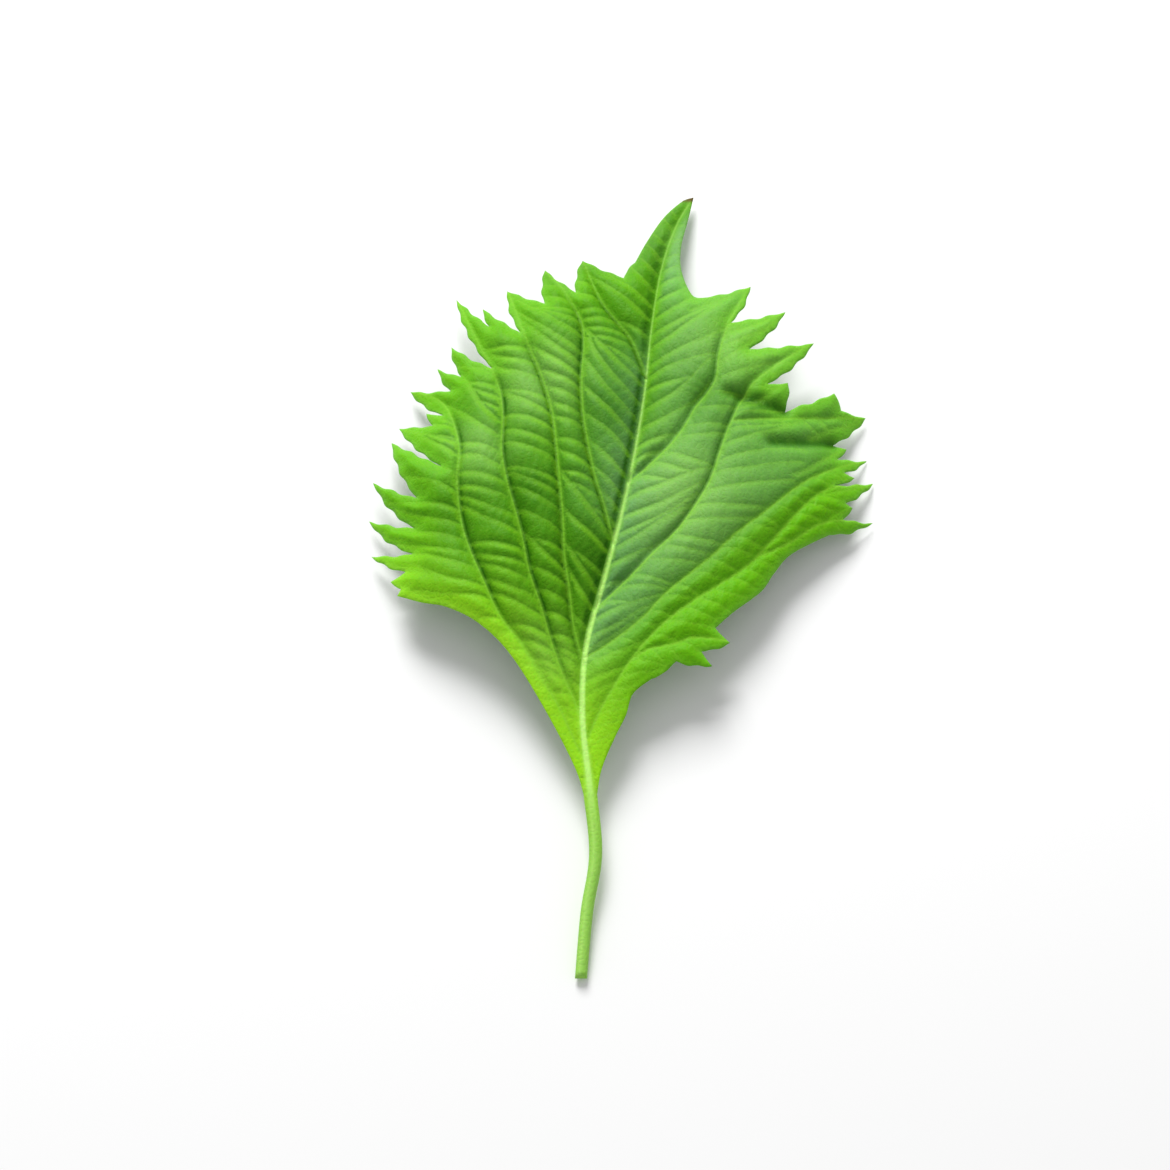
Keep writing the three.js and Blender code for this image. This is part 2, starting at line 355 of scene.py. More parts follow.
def tooth_veins(tree, chance):
    """From each tooth's point back down the tooth to the nearest large vein."""
    lines = []
    for teeth, side in ((LEFT_TEETH, -1), (RIGHT_LOW_TEETH + RIGHT_TEETH, 1)):
        for point, _ in teeth:
            start = np.array(point) + TOOTH_VEIN_INSET * np.array([-side, -0.7])
            lines.append(grow_vein(start, (-side, -0.75), -side * TOOTH_VEIN_TURN, TOOTH_VEIN_WANDER,
                                   tree, TOOTH_VEIN_LONGEST, chance, lines))
    return [line for line in lines if inside(line).all()]


chance = random.Random(13)
large_lines = [midrib_line] + list(vein_lines.values())
branches = tooth_veins(make_tree(np.vstack(large_lines)), chance)
print("tooth veins:", len(branches))

# %% Rungs between the veins, and the fine net between the rungs
RUNG_GAP = 2.7
RUNG_RISE = (24, 36)         # degrees that a rung climbs towards the tip
RUNG_LONGEST = 13
RUNG_TURN = 0.012
RUNG_WANDER = 0.03
NET_GAP = 1.7
NET_LONGEST = 2.6
NET_WANDER = 0.12


def rung_starts(line, gap, chance):
    """Places along a vein where rungs leave it, spaced a little unevenly."""
    index = int(chance.uniform(0.3, 1) * gap / VEIN_STEP)
    while index < len(line) - 2:
        way = line[index + 1] - line[index - 1]
        yield line[index], way / np.linalg.norm(way)
        index += int(gap * chance.uniform(0.75, 1.25) / VEIN_STEP)


def side_of(spot):
    return -1 if spot[0] < midrib_x(spot[1]) else 1


def grow_rungs(tree, chance):
    """Rungs leave each vein on its outer side, square to it but for a small rise."""
    rungs = []
    for name, line in [("midrib", midrib_line)] + list(vein_lines.items()):
        sides = (-1, 1) if name == "midrib" else (side_of(line[len(line) // 2]),)
        for side in sides:
            for spot, way in rung_starts(line, RUNG_GAP, chance):
                rise = math.radians(chance.uniform(*RUNG_RISE))
                out = side * np.array([way[1], -way[0]])
                heading = out * math.cos(rise) + way * math.sin(rise)
                rungs.append(grow_vein(spot, heading, side * RUNG_TURN, RUNG_WANDER,
                                       tree, RUNG_LONGEST, chance, rungs))
    return [rung for rung in rungs if len(rung) > 8 and inside(rung).all()]


def grow_net(rungs, tree, chance):
    """Short veins that climb from each rung towards the next."""
    net = []
    for rung in rungs:
        for spot, way in rung_starts(rung, NET_GAP, chance):
            up = np.array([-way[1], way[0]]) * (1 if way[0] > 0 else -1)
            net.append(grow_vein(spot, up, 0, NET_WANDER, tree, NET_LONGEST, chance))
    return [line for line in net if len(line) > 4]


branch_tree = make_tree(np.vstack(large_lines + branches))
rungs = grow_rungs(branch_tree, chance)
rung_tree = make_tree(np.vstack(large_lines + branches + rungs))
net = grow_net(rungs, rung_tree, chance)
net_tree = make_tree(np.vstack(net))
print("rungs:", len(rungs), "net veins:", len(net))

# %% [markdown]
# ## A plan of points
#
# A leaf is a sheet, so the blade is meshed flat first and raised afterwards. A plain grid would
# cut the veins into steps. Instead vertices go where detail is: rows beside the midrib, the side
# veins and the rungs, rings of the stalk, and an even honeycomb everywhere else. A constrained
# Delaunay triangulation then joins them, keeping the outline's edges.

# %% Rows and rings of vertices
HONEYCOMB = 0.38             # spacing between the free vertices
HONEYCOMB_JITTER = 0.05
VEIN_ROWS = (-0.5, -0.22, 0.0, 0.22, 0.5)
RUNG_ROWS = (-0.26, 0.0, 0.26)
VEIN_ROW_STEP = 0.3
RUNG_ROW_STEP = 0.42
VEIN_ROW_GAP = 0.16          # least distance between the vertices of two vein rows
RUNG_ROW_GAP = 0.2
HONEYCOMB_GAP = 0.22         # least distance from a free vertex to any row
OUTLINE_GAP = 0.14           # least distance from any of them to the outline
RING_ANGLES = (-72, -54, -36, -18, 0, 18, 36, 54, 72)
RINGS_TOP_Y = -1.5
BLADE_ROWS_Y = -1.2


def rows_beside(line, step, rows):
    """Points on the line and in rows to its left and right."""
    every = max(1, round(step / VEIN_STEP))
    way = np.gradient(line, axis=0)
    sideways = np.column_stack([-way[:, 1], way[:, 0]]) / np.linalg.norm(way, axis=1)[:, None]
    return np.vstack([(line + sideways * row)[::every] for row in rows])


def stalk_points():
    """Rings across the stalk, closer together towards its sides where it curves away."""
    y = np.arange(STALK_END_Y + STALK_STEP, RINGS_TOP_Y, STALK_STEP)
    x = midrib_x(y)[:, None] + rib_radius(y)[:, None] * np.sin(np.radians(RING_ANGLES))
    return np.column_stack([x.ravel(), np.repeat(y, len(RING_ANGLES))])


# %% Scatter the vertices
def thin_out(points, gap):
    """Drops points that crowd an earlier one, where two veins meet."""
    tree = make_tree(points)
    dropped = set()
    for index, (x, y) in enumerate(points):
        if index in dropped:
            continue
        for _, other, _ in tree.find_range((x, y, 0), gap):
            if other > index:
                dropped.add(other)
    return np.array([point for index, point in enumerate(points) if index not in dropped])


def keep_apart(points, others, gap):
    """The points that are no closer than gap to any of the others."""
    return points[distances(make_tree(others), points) > gap]


def honeycomb():
    """Staggered rows over the whole blade, each vertex shifted a little."""
    columns = np.arange(-34, 44, HONEYCOMB)
    rows = np.arange(-2, TIP_Y, HONEYCOMB * math.sqrt(3) / 2)
    grid_x, grid_y = np.meshgrid(columns, rows)
    grid_x[1::2] += HONEYCOMB / 2
    comb = np.column_stack([grid_x.ravel(), grid_y.ravel()])
    comb += np.random.default_rng(3).uniform(-HONEYCOMB_JITTER, HONEYCOMB_JITTER, comb.shape)
    return comb[inside(comb)]


def scatter():
    """All vertices inside the outline."""
    large = np.vstack([rows_beside(line, VEIN_ROW_STEP, VEIN_ROWS) for line in large_lines])
    large = thin_out(large, VEIN_ROW_GAP)
    small = np.vstack([rows_beside(rung, RUNG_ROW_STEP, RUNG_ROWS) for rung in rungs])
    small = keep_apart(thin_out(small, RUNG_ROW_GAP), large, RUNG_ROW_GAP)
    comb = keep_apart(honeycomb(), np.vstack([large, small]), HONEYCOMB_GAP)
    free = np.vstack([large, small, comb])
    free = free[inside(free) & (free[:, 1] > BLADE_ROWS_Y)]
    free = np.vstack([free, stalk_points()])
    return keep_apart(free, outline, OUTLINE_GAP)


free_points = scatter()
print("vertices inside the outline:", len(free_points))

# %% Triangulate the plan
plan_points = [Vector(point) for point in np.vstack([outline, free_points])]
outline_ring = list(range(len(outline)))
KEEP_INSIDE = 1      # leaves out the triangles outside the outline
found = geometry.delaunay_2d_cdt(plan_points, [], [outline_ring], KEEP_INSIDE, 1e-5)
plan = np.array([(point.x, point.y) for point in found[0]])
triangles = np.array(found[2])
print("plan:", len(plan), "vertices,", len(triangles), "triangles")

# %% [markdown]
# ## The blade's relief
#
# Three sizes of relief lie on top of each other. The whole blade arches, with its two halves
# drooping from the midrib and slow waves along the margin. Each panel between two side veins
# swells like a pleat. And the flesh between the rungs puckers into small pillows, because it
# grew faster than the veins that hold it. All three are heights added at each vertex, so they
# are real shape and not only shading.

# %% Distances that the relief and the colours need
to_edge = distances(edge_tree, plan)
to_edge[: len(outline)] = 0
across = plan[:, 0] - midrib_x(plan[:, 1])
along = plan[:, 1]
to_large = distances(branch_tree, plan)
to_rung = distances(rung_tree, plan)
rung_below = np.array([rung_tree.find((x, y, 0))[0][1] for x, y in plan]) < along
to_net = distances(net_tree, plan)
side_tree = make_tree(np.vstack(list(vein_lines.values())))
to_side = distances(side_tree, plan)
to_main = np.minimum(to_side, np.abs(across))
print("the widest panel is", round(2 * float(to_large.max()), 1), "mm across")


# %% Where the blade drops and where it folds
def on_drop_side():
    """1 for each vertex on the side of its nearest side vein where the blade drops."""
    ways = np.vstack([np.gradient(line, axis=0) for line in vein_lines.values()])
    wanted = np.concatenate([[DROP_SIDES.get(name, 0)] * len(line) for name, line in vein_lines.items()])
    result = []
    for x, y in plan:
        spot, index, _ = side_tree.find((x, y, 0))
        way = ways[index]
        right_hand = (x - spot[0]) * way[1] - (y - spot[1]) * way[0]
        result.append(right_hand * wanted[index] > 0)
    return np.array(result, float)


def uneven():
    """Between 0.3 and 1: the rungs stand out more in some parts of the blade than in others."""
    x = plan[:, 0]
    rows = np.sin(0.47 * x + 1.7 * np.sin(0.21 * along))
    columns = np.sin(0.4 * along + 1.3 * np.sin(0.31 * x))
    return 0.65 + 0.35 * rows * columns


# Two folds that run in from notches of the right margin.
FOLDS = ([(19.5, 58.5), (23, 57.5), (27.3, 56.3)], [(25.5, 51), (30, 51.5), (34.3, 52.4)])

grown = ease(along, 4, 26)   # the relief and its shading start above the leaf's base
drops = on_drop_side()
rung_share = uneven()
fold_tree = make_tree(np.vstack([curve_through(points, VEIN_STEP) for points in FOLDS]))
to_fold = distances(fold_tree, plan)
print("share of the blade that lies on a drop side:", round(float(drops.mean()), 2))

# %% Height of the leaf's middle layer
VALLEY_RISE = 0.3
VALLEY_WIDTH = 2.0
LEFT_SAG = 0.013         # how fast each half falls away with the square of the distance
RIGHT_SAG = 0.0139
WAVE_HEIGHT = 1.2
WAVE_LENGTH = 23.0
WAVE_REACH = 35.0        # distance from the midrib at which a wave has its full height
WAVE_START = -4
RIGHT_WAVE_SHIFT = 1.6
GULLY_DEPTH = 1.3        # how much deeper the blade falls to the midrib on its left side
GULLY_REACH = 3.2
CLIFF_DROP = 0.4         # sudden drop beside some side veins
CLIFF_PLACE = 0.48
CLIFF_WIDTH = 0.42
FOLD_DEPTH = 0.9
FOLD_WIDTH = 1.2
LEFT_PLEAT = 1.15        # height of the swelling between two side veins
RIGHT_PLEAT = 0.75
PLEAT_REACH = 1.7
BRANCH_PLEAT = 0.22
PILLOW_HEIGHT = 0.48     # height of the flesh between two rungs
PILLOW_REACH = 0.8
NET_HEIGHT = 0.1
NET_REACH = 0.35
RIGHT_CALM = 0.48        # how much flatter the pillows are on the right half


def arch(x, y):
    """The large form: a shallow valley at the midrib, two drooping halves, slow waves."""
    d = x - midrib_x(y)
    valley = VALLEY_RISE * (np.hypot(d, VALLEY_WIDTH) - VALLEY_WIDTH)
    sag = np.where(d < 0, LEFT_SAG, RIGHT_SAG) * d * d
    phase = np.where(d < 0, 0, RIGHT_WAVE_SHIFT)
    swing = np.sin(2 * np.pi * (y - WAVE_START) / WAVE_LENGTH + phase)
    wave = WAVE_HEIGHT * (np.abs(d) / WAVE_REACH) ** 2 * swing
    return midrib_z(y) + valley - sag + wave


def line_strength(distance, width):
    """1 on a line, fading away on both sides within about its width."""
    return np.exp(-((distance / width) ** 2))


def gully():
    """The steep fall to the midrib on its left side, over the middle of the blade."""
    where = ease(along, 18, 40) * (1 - ease(along, 60, 84)) * (across < 0)
    return GULLY_DEPTH * where * (1 - np.exp(across / GULLY_REACH))


def rounded(distance, reach):
    """0 on a vein, nearly 1 once reach is passed, with a narrow round-bottomed crease."""
    return 1 - np.exp(-((distance / reach) ** 1.3))


def pucker():
    """Pleats between the side veins, pillows between the rungs, and the fine net."""
    height = LEFT_PLEAT + (RIGHT_PLEAT - LEFT_PLEAT) * ease(across, -2, 6)
    pleat = height * (rounded(to_main, PLEAT_REACH) - 0.5) * (0.4 + 0.6 * grown) * ease(to_edge, 0, 3.5)
    cliff = CLIFF_DROP * drops * line_strength(to_side - CLIFF_PLACE, CLIFF_WIDTH)
    cliff *= grown * ease(to_edge, 0, 4)
    fold = FOLD_DEPTH * line_strength(to_fold, FOLD_WIDTH)
    branch = BRANCH_PLEAT * rounded(to_large, 1.0) * ease(to_edge, 0, 2)
    calmer = 1 - RIGHT_CALM * ease(across, 0, 6)
    pillow = PILLOW_HEIGHT * rung_share * calmer * rounded(to_rung, PILLOW_REACH)
    small = NET_HEIGHT * (1.5 - rung_share) * (2 - calmer) * rounded(to_net, NET_REACH)
    fine = (pillow + small) * (0.2 + 0.8 * grown) * ease(to_edge, 0, 2)
    return pleat - cliff - fold + branch + fine


BLADE_START_Y = -1.5     # below this there is only stalk
on_blade = ease(along, BLADE_START_Y, 3)
relief = (pucker() + gully()) * on_blade
middle_z = np.where(along < BLADE_START_Y, midrib_z(along), arch(plan[:, 0], along) + relief)
print("relief from", round(float(middle_z.min()), 2), "to", round(float(middle_z.max()), 2))

# %% [markdown]
# ## Two skins and a rim
#
# The real blade is about 0.3 mm thick, thinner at its very edge, with the midrib standing out
# below. A single sheet would be quicker, but it has no inside, so it couldn't be cast or
# measured as a solid. So the plan is used twice, once above the middle layer and once below, and
# a strip of faces joins the two along the outline. The stalk is the place where the two skins
# are furthest apart.

# %% The two skins
BLADE_HALF = 0.15        # half the flesh's thickness
RIM_HALF = 0.03          # half the thickness left at the very edge
RIM_WIDTH = 0.3          # how far in from the edge the flesh reaches its full thickness
RIB_SINKS = 0.72         # part of the rib's height that goes from the upper side
RIB_BULGES = 0.25        # part that the lower side gains
SIDE_RIB = 0.28          # how far a side vein stands out below
RUNG_RIB = 0.08
CHANNEL_DEPTH = 0.16     # the groove along the stalk's upper side
CHANNEL_WIDTH = 0.32


def skins():
    """Heights of the upper and the lower skin over every vertex of the plan."""
    inward = np.clip(to_edge / RIM_WIDTH, 0, 1)
    flesh = RIM_HALF + (BLADE_HALF - RIM_HALF) * np.sqrt(1 - (1 - inward) ** 2)
    thin = flesh * on_blade + RIM_HALF * (1 - on_blade)
    rib = np.sqrt(np.clip(rib_radius(along) ** 2 - across**2, 0, None))
    on_top = 1 - RIB_SINKS * ease(along, -2, 22)
    side_rib = SIDE_RIB * line_strength(to_side, 0.38) * (1 - ease(along, 55, 85))
    side_rib += RUNG_RIB * line_strength(to_rung, 0.25)
    channel = CHANNEL_DEPTH * line_strength(across, CHANNEL_WIDTH) * (1 - ease(along, -4, 8))
    upper = middle_z - channel + np.maximum(thin, rib * on_top)
    veins_below = side_rib * on_blade * ease(to_edge, 0, 1.5) + flesh
    below = np.maximum(rib * (1 + RIB_BULGES * on_blade), veins_below)
    lower = middle_z - np.maximum(thin, below)
    return upper, lower


upper_z, lower_z = skins()
lift = -lower_z.min()
print("the leaf is lifted by", round(float(lift), 2), "mm so that it touches the surface")

# %% Make the mesh
MM = 0.001


def leaf_mesh():
    """Upper skin, lower skin and the strip between them round the edge, in metres.

    In plan, the middle of the mesh goes where the middle of the frame's solid is.
    """
    shift_x = (leaf_box[0][0] + leaf_box[1][0]) / 2 - (plan[:, 0].min() + plan[:, 0].max()) / 2 * MM
    shift_y = (leaf_box[0][1] + leaf_box[1][1]) / 2 - (plan[:, 1].min() + plan[:, 1].max()) / 2 * MM
    x = plan[:, 0] * MM + shift_x
    y = plan[:, 1] * MM + shift_y
    top = np.column_stack([x, y, (upper_z + lift) * MM])
    bottom = np.column_stack([x, y, (lower_z + lift) * MM])
    count = len(plan)
    ring = np.arange(len(outline))
    following = np.roll(ring, -1)
    strip = np.vstack([
        np.column_stack([ring, ring + count, following + count]),
        np.column_stack([ring, following + count, following]),
    ])
    faces = np.vstack([triangles, triangles[:, ::-1] + count, strip])
    mesh = bpy.data.meshes.new("shiso_leaf_fine")
    mesh.from_pydata(np.vstack([top, bottom]).tolist(), [], faces.tolist())
    mesh.shade_smooth()
    return mesh


mesh = leaf_mesh()
leaf = bpy.data.objects.new("leaf", mesh)
bpy.context.scene.collection.objects.link(leaf)
print("leaf mesh:", len(mesh.vertices), "vertices,", len(mesh.polygons), "faces")

# %% [markdown]
# ## What the colours depend on
#
# Colour on a leaf follows its anatomy: pale on the veins and fresh yellow-green along the margin and
# at the base. Light and shade are painted into the colour as well: painted shade in the creases beside
# the veins, painted light on the pillows, painted sheen and painted reflection on parts of the blade,
# and a painted glow where light shines through the thin margin. A painted picture would need a map of the
# leaf.
# It is easier to store a few strengths at every vertex, worked out from the same distances as
# the relief, and to let the material blend its colours by them. That way the colours always fit
# the shape.

# %% Pale lines along the veins
rib_line = line_strength(across**2, (rib_radius(along) * 0.52) ** 2) * ease(along, -9, 3)
rib_line *= 1 - 0.5 * ease(along, 18, 60) - 0.35 * ease(along, 54, 76)
stalk_streak = 0.55 * line_strength(across + 0.25, 0.3) * (1 - ease(along, -2, 4))
rib_line = np.maximum(rib_line, stalk_streak)
side_line = line_strength(to_side, 0.21) * (0.85 - 0.3 * ease(along, 20, 80))
branch_line = 0.4 * line_strength(to_large, 0.24)
rung_line = 0.34 * line_strength(to_rung, 0.17)
net_line = 0.12 * line_strength(to_net, 0.2)
fine_lines = np.maximum.reduce([side_line, branch_line, rung_line, net_line])
stalk = (1 - ease(along, -6, 3)) * (0.75 + 0.25 * ease(-along, 4, 14))
print("mean strength of the pale lines:", round(float(fine_lines.mean()), 2))

# %% Painted shade beside the veins, and painted light on the pillows
# Painted shade: the side where the blade drops beside a side vein, the hollow left of the midrib, just above
# each rung and along the folds are darkened where less light falls; crease gathers all of it.
drop_shade = drops * (0.95 * line_strength(to_side - 0.4, 0.28) + 0.35 * np.exp(-to_side / 1.3))
drop_shade *= np.where(across > 0, 0.7 * ease(across, 3, 10), 1.0) * ease(along, 8, 26)
shade_beside_rib = (across < 0) * (0.8 * line_strength(across + 0.9, 0.4) + 0.4 * np.exp(across / 3.5))
shade_beside_rib *= ease(along, 12, 28) * (1 - 0.45 * ease(along, 56, 78)) * (1 - ease(along, 84, 92))
softer = 1 - 0.5 * ease(across, 1, 8) - 0.2 * ease(along, 45, 70)
rung_shade = 0.5 * rung_share * softer * grown * rung_below * line_strength(to_rung - 0.34, 0.26)
fold_shade = line_strength(to_fold, 0.9)
crease = np.maximum(drop_shade * ease(to_edge, 0, 6), shade_beside_rib * ease(to_edge, 0, 3))
crease = np.maximum.reduce([crease, rung_shade * ease(to_edge, 0, 3), fold_shade])
# Painted light: just below each rung, where the pillow's slope faces the light behind the leaf, the colour
# is lightened.
lit = 0.5 * rung_share * softer * grown * ~rung_below * line_strength(to_rung - 0.4, 0.35)
lit *= ease(to_edge, 0, 3)
print("mean strength of the dark creases:", round(float(crease.mean()), 2))

# %% Painted reflection, young flesh, margin with painted glow, and painted sheen
# Painted reflection: bluish-grey bands beside the midrib and on the tip's right side, where the bright
# surroundings would be mirrored.
reflection_right = (across > 0) * np.exp(-across / 3.2) * ease(along, 10, 22) * (1 - ease(along, 38, 56))
reflection_left = (across < 0) * np.exp(across / 3.2) * ease(along, 34, 44) * (1 - ease(along, 58, 72))
reflection_tip = 0.75 * ease(across, -0.2, 1.5) * ease(along, 70, 79) * (1 - ease(along, 88, 91.5))
painted_reflection = reflection_right + reflection_left + reflection_tip
young = 1 - ease(along + 0.45 * np.minimum(across, 0) + 0.8 * np.maximum(across, 0), 0, 28)
young = np.maximum(young, (across < 0) * np.exp(-to_edge / 4) * (1 - ease(along, 18, 42)))
middle_vein = vein_lines["right_middle"]
above_vein = along - np.interp(plan[:, 0], middle_vein[:, 0], middle_vein[:, 1])
# Painted sheen: the upper right half is made paler and greyer where its skin would mirror the soft light
# from behind.
painted_sheen_strength = ease(across, -1, 6) * ease(above_vein, -3, 3)
# The margin's yellow-green is partly the young tissue's own colour and partly a painted glow of light
# shining through the thin edge; low_right spreads that glow over the lower right of the blade.
low_right = 0.75 * (across > 0) * (1 - ease(above_vein, -6, 2)) * ease(along, 4, 20)
not_tip = 1 - 0.75 * ease(along, 72, 82) * (across < 12)
edge = np.maximum(np.exp(-to_edge / 2.6), low_right) * not_tip
rim = np.exp(-to_edge / 0.4) * ease(along, 10, 25)
withered = ease(along, TIP_Y - 1.3, TIP_Y - 0.5)
print("mean strength of the margin's colour:", round(float(edge.mean()), 2))

# %% Round patches of painted sheen, and of deeper green with painted shade, each with its middle and its size
# Pale patches: painted sheen, where the skin would catch the soft light.
SHEEN_PATCHES = ((-8, 60, 7), (-8, 17, 5), (22, 66, 8), (12, 42, 8), (-17, 49, 5), (14, 84, 4))
# Dark patches: partly a deeper green of the flesh, partly painted shade where the blade folds or turns away
# from the light.
DEEP_AND_SHADE_PATCHES = (
    (-22, 41, 4.5), (-1, 33, 4.5), (24, 57.5, 4), (-9, 42, 4), (2, 55, 4), (16, 59, 4), (8, 84.5, 3.5),
    (11.5, 90, 2.5),
)


def patches(places):
    """The strength at every vertex."""
    result = np.zeros(len(plan))
    for x, y, size in places:
        result = np.maximum(result, line_strength(np.hypot(plan[:, 0] - x, along - y), size))
    return result


pale = patches(SHEEN_PATCHES)
deep_and_shade = patches(DEEP_AND_SHADE_PATCHES)
print("patches:", len(SHEEN_PATCHES), "pale,", len(DEEP_AND_SHADE_PATCHES), "deep_and_shade")


# %% Store the strengths on the mesh
def store(name, upper, lower):
    """A number at every vertex, for the upper and then the lower skin."""
    layer = mesh.attributes.new(name, "FLOAT", "POINT")
    layer.data.foreach_set("value", np.concatenate([upper, lower]).astype(np.float32))


on_both_skins = {
    "rib": rib_line, "stalk": stalk, "veins": fine_lines, "edge": edge, "young": young, "pale": pale,
    "deep_and_shade": deep_and_shade, "rim": rim, "withered": withered, "painted_sheen": painted_sheen_strength,
}
on_upper_skin = {"crease": crease, "painted_reflection": painted_reflection, "lit": lit}
nowhere = np.zeros(len(plan))
for name, strength in on_both_skins.items():
    store(name, strength, strength)
for name, strength in on_upper_skin.items():
    store(name, strength, nowhere)
store("underside", nowhere, nowhere + 1)
print("attributes:", [layer.name for layer in mesh.attributes])

# %% [markdown]
# ## The leaf's finish
#
# Shiso is a soft yellow-green where it is young, at the base and along the margin, and a deeper
# green in the middle. The veins are paler. A plain diffuse colour would look like paper, because
# only part of the light is turned back by a leaf's skin: some enters the flesh and comes out
# coloured. Subsurface scattering gives that, and a broad soft gloss over it gives the waxy
# sheen. Cells and noise in the object's own metres give the grain of the skin.


# %% Small helpers for nodes
def linear(red, green, blue):
    """A colour given as 0 to 255 on screen, as the light values that a shader needs."""
    def to_light(value):
        value = value / 255
        return value / 12.92 if value <= 0.04045 else ((value + 0.055) / 1.055) ** 2.4
    return (to_light(red), to_light(green), to_light(blue), 1)


def new_node(tree, kind, **settings):
    node = tree.nodes.new(kind)
    for name, value in settings.items():
        setattr(node, name, value)
    return node


def attribute(tree, name):
    """The strength that the mesh stores under this name."""
    return new_node(tree, "ShaderNodeAttribute", attribute_name=name).outputs["Fac"]


def mix_colour(tree, factor, low, high):
    """Blends two colours or colour sockets by a factor socket."""
    node = new_node(tree, "ShaderNodeMix", data_type="RGBA")
    for socket, value in zip((node.inputs[0], node.inputs[6], node.inputs[7]), (factor, low, high)):
        if isinstance(value, bpy.types.NodeSocket):
            tree.links.new(value, socket)
        else:
            socket.default_value = value
    return node.outputs[2]


def calculate(tree, operation, first, second):
    """One sum on two numbers or number sockets."""
    node = new_node(tree, "ShaderNodeMath", operation=operation)
    for socket, value in zip(node.inputs, (first, second)):
        if isinstance(value, bpy.types.NodeSocket):
            tree.links.new(value, socket)
        else:
            socket.default_value = value
    return node.outputs[0]


def noise(tree, scale, detail):
    """Noise in the object's own metres, so it keeps its real size."""
    place = new_node(tree, "ShaderNodeTexCoord").outputs["Object"]
    node = new_node(tree, "ShaderNodeTexNoise")
    node.inputs["Scale"].default_value = scale
    node.inputs["Detail"].default_value = detail
    tree.links.new(place, node.inputs["Vector"])
    return node.outputs["Fac"]


def cells(tree, scale):
    """0 on the walls between small irregular cells and 1 in their middles."""
    place = new_node(tree, "ShaderNodeTexCoord").outputs["Object"]
    node = new_node(tree, "ShaderNodeTexVoronoi", feature="DISTANCE_TO_EDGE")
    node.inputs["Scale"].default_value = scale
    tree.links.new(place, node.inputs["Vector"])
    return calculate(tree, "MINIMUM", calculate(tree, "MULTIPLY", node.outputs["Distance"], 4), 1)


# %% The leaf's material
DEEP = linear(70, 138, 6)
DARK = linear(46, 108, 4)
LIGHTER = linear(88, 156, 18)
# painted sheen colour for the upper right half
PAINTED_SHEEN_GREEN = linear(108, 164, 80)
PALE = linear(136, 188, 92)
PAINTED_REFLECTION = linear(120, 168, 116)
YOUNG = linear(166, 232, 36)
EDGE = linear(106, 186, 3)
VEIN = linear(134, 198, 52)
STALK = linear(146, 202, 84)
RIB = linear(190, 242, 124)
UNDER = linear(128, 176, 106)
CREASE_SHADE = linear(34, 90, 4)
LIT = linear(140, 206, 36)
WITHERED = linear(92, 74, 34)

# Laid over each other from first to last: stored strength, share of it that is used, colour.
# Painted light and shade among them: the sheen and reflection rows, the pale and deep patches, part of the
# edge glow, the crease shade and the lit pillows.
LAYERS = (
    ("painted_sheen", 0.7, PAINTED_SHEEN_GREEN),
    ("pale", 0.65, PALE),
    ("painted_reflection", 0.8, PAINTED_REFLECTION),
    ("deep_and_shade", 0.6, DARK),
    ("edge", 0.9, EDGE),
    ("rim", 0.35, PALE),
    ("young", 0.8, YOUNG),
    ("crease", 0.9, CREASE_SHADE),
    ("lit", 0.8, LIT),
    ("underside", 0.85, UNDER),
    ("veins", 0.8, VEIN),
    ("stalk", 1.0, STALK),
    ("rib", 1.0, RIB),
    ("withered", 1.0, WITHERED),
)
BROAD_NOISE = 90         # all scales are per metre
MOTTLE_NOISE = 320
GRAIN_CELLS = 1300
GRAIN_NOISE = 2600
GRAIN_SHARE = 0.14
GRAIN_BUMP = 0.5
GRAIN_HEIGHT = 0.00012
ROUGHNESS = 0.5
SPECULAR = 0.08
SUBSURFACE = 0.2
SUBSURFACE_RADIUS = (0.35, 1.0, 0.12)
SUBSURFACE_SCALE = 0.0005


def leaf_colour(tree, grain):
    """The flesh's mottled green, then the layers, then the grain."""
    colour = mix_colour(tree, noise(tree, BROAD_NOISE, 3), DEEP, LIGHTER)
    mottle = calculate(tree, "POWER", noise(tree, MOTTLE_NOISE, 2), 3)
    colour = mix_colour(tree, mottle, colour, DARK)
    for name, share, tint in LAYERS:
        amount = calculate(tree, "MULTIPLY", attribute(tree, name), share)
        colour = mix_colour(tree, amount, colour, tint)
    return mix_colour(tree, calculate(tree, "MULTIPLY", grain, GRAIN_SHARE), colour, DEEP)


def leaf_material():
    material = bpy.data.materials.new("leaf_skin")
    material.use_nodes = True
    tree = material.node_tree
    shader = tree.nodes["Principled BSDF"]
    grain = calculate(tree, "MULTIPLY", cells(tree, GRAIN_CELLS), noise(tree, GRAIN_NOISE, 3))
    tree.links.new(leaf_colour(tree, grain), shader.inputs["Base Color"])
    bump = new_node(tree, "ShaderNodeBump")
    bump.inputs["Strength"].default_value = GRAIN_BUMP
    bump.inputs["Distance"].default_value = GRAIN_HEIGHT
    tree.links.new(grain, bump.inputs["Height"])
    tree.links.new(bump.outputs["Normal"], shader.inputs["Normal"])
    shader.inputs["Roughness"].default_value = ROUGHNESS
    shader.inputs["Specular IOR Level"].default_value = SPECULAR
    shader.inputs["Subsurface Weight"].default_value = SUBSURFACE
    shader.inputs["Subsurface Radius"].default_value = SUBSURFACE_RADIUS
    shader.inputs["Subsurface Scale"].default_value = SUBSURFACE_SCALE
    return material


leaf.data.materials.append(leaf_material())
print("material nodes:", len(leaf.data.materials[0].node_tree.nodes))

# %% [markdown]
# ## Say what the piece is
#
# The plain solid carries the leaf's weight and is what other things bump into. The fine mesh
# only has to be seen, so it stands in for the plain solid and rides on the same body, instead
# of being added to it.

# %% Tie the leaf to the frame
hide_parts("shiso_leaf")
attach(leaf, "root")
print("leaf replaces the plain solid")

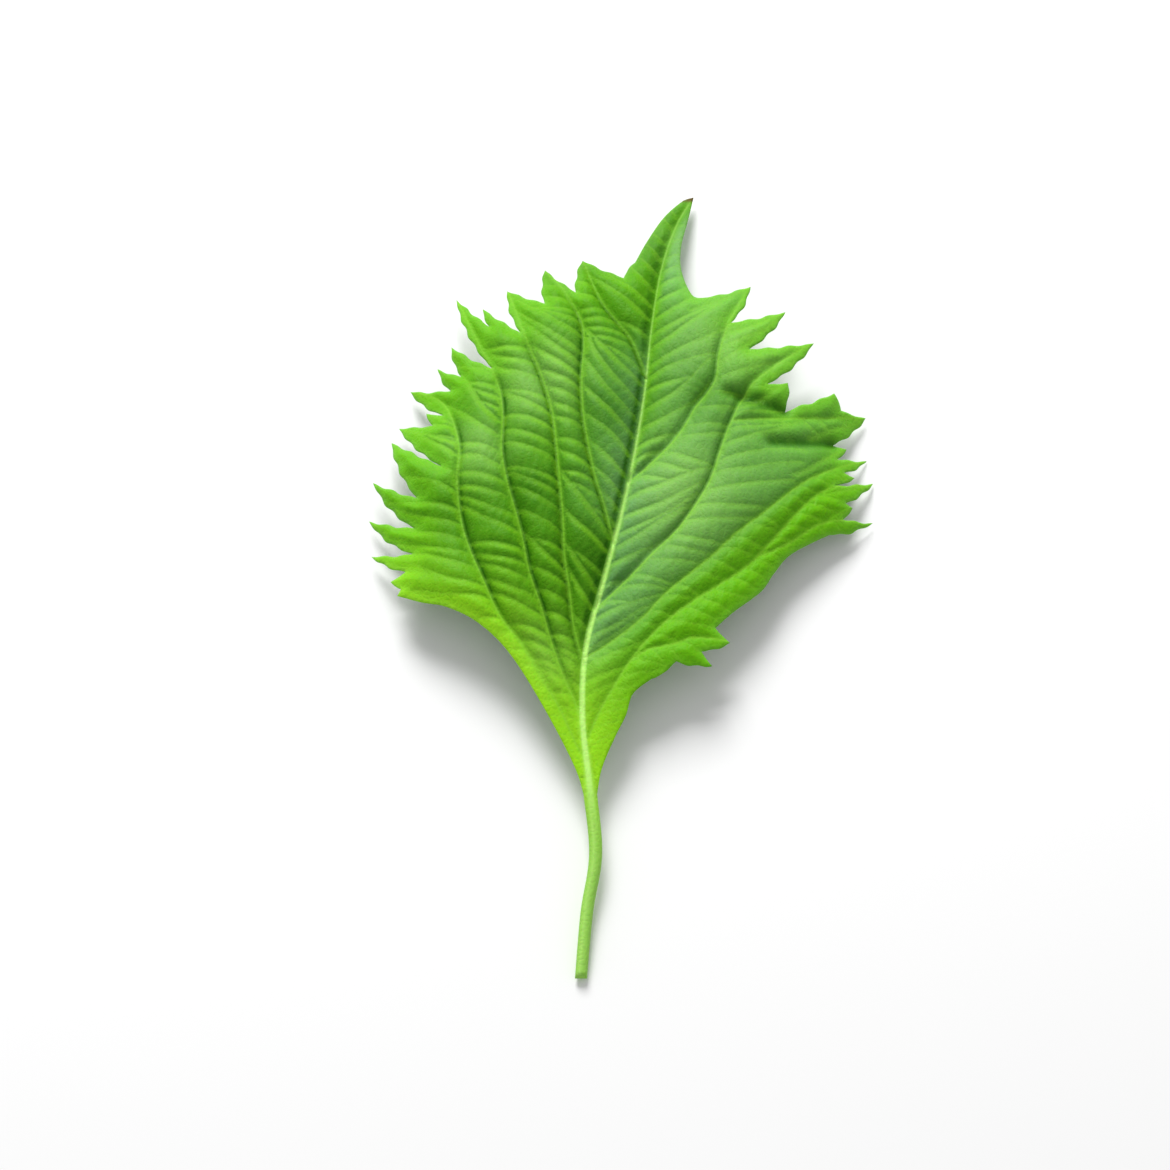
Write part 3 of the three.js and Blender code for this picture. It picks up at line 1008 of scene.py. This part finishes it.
# %% [markdown]
# ## Floor, light and camera
#
# Leaves for sale are usually shown on white. A pale floor, one large soft light behind and a
# little to the left, and bright surroundings give that. A smaller light would show the relief
# more strongly, but its shadows would be hard. The camera looks down at a steep angle, because
# the leaf lies flat.

# %% Floor
FLOOR_HALF = 3.0
FLOOR_GREY = 0.93


def make_floor():
    floor_mesh = bpy.data.meshes.new("floor")
    corners = [(-FLOOR_HALF, -FLOOR_HALF, 0), (FLOOR_HALF, -FLOOR_HALF, 0),
               (FLOOR_HALF, FLOOR_HALF, 0), (-FLOOR_HALF, FLOOR_HALF, 0)]
    floor_mesh.from_pydata(corners, [], [(0, 1, 2, 3)])
    floor = bpy.data.objects.new("floor", floor_mesh)
    bpy.context.scene.collection.objects.link(floor)
    material = bpy.data.materials.new("pale_floor")
    material.use_nodes = True
    shader = material.node_tree.nodes["Principled BSDF"]
    shader.inputs["Base Color"].default_value = (FLOOR_GREY, FLOOR_GREY, FLOOR_GREY, 1)
    shader.inputs["Roughness"].default_value = 0.7
    shader.inputs["Specular IOR Level"].default_value = 0.1
    floor.data.materials.append(material)
    return floor


floor = make_floor()
print("floor:", floor.name)


# %% Lights
KEY_PLACE = (-0.14, 0.6, 0.5)
KEY_SIZE = 0.35
KEY_POWER = 7.0
SURROUNDINGS = 0.5       # strength of the white all round


def area_light(name, place, size, power):
    """A square light that faces the leaf."""
    light = bpy.data.lights.new(name, "AREA")
    light.shape = "SQUARE"
    light.size = size
    light.energy = power
    holder = bpy.data.objects.new(name, light)
    holder.location = place
    holder.rotation_euler = (-Vector(place)).to_track_quat("-Z", "Y").to_euler()
    bpy.context.scene.collection.objects.link(holder)
    return holder


world = bpy.data.worlds.new("surroundings")
bpy.context.scene.world = world
world.use_nodes = True
background = world.node_tree.nodes["Background"]
background.inputs["Color"].default_value = (1, 1, 1, 1)
background.inputs["Strength"].default_value = SURROUNDINGS
key = area_light("key", KEY_PLACE, KEY_SIZE, KEY_POWER)
print("lights:", key.name)

# %% Camera
ELEVATION = math.radians(67.7)
DISTANCE = 0.456
LENS = 100
TARGET = (-0.0053, -0.0042, 0.0055)


def make_camera():
    camera = bpy.data.cameras.new("camera")
    camera.lens = LENS
    holder = bpy.data.objects.new("camera", camera)
    back = Vector((0, -math.cos(ELEVATION), math.sin(ELEVATION)))
    holder.location = Vector(TARGET) + back * DISTANCE
    holder.rotation_euler = (-back).to_track_quat("-Z", "Y").to_euler()
    bpy.context.scene.collection.objects.link(holder)
    bpy.context.scene.camera = holder
    return holder


camera = make_camera()
bpy.context.scene.view_settings.view_transform = "Standard"
print("camera at", [round(value, 3) for value in camera.location])
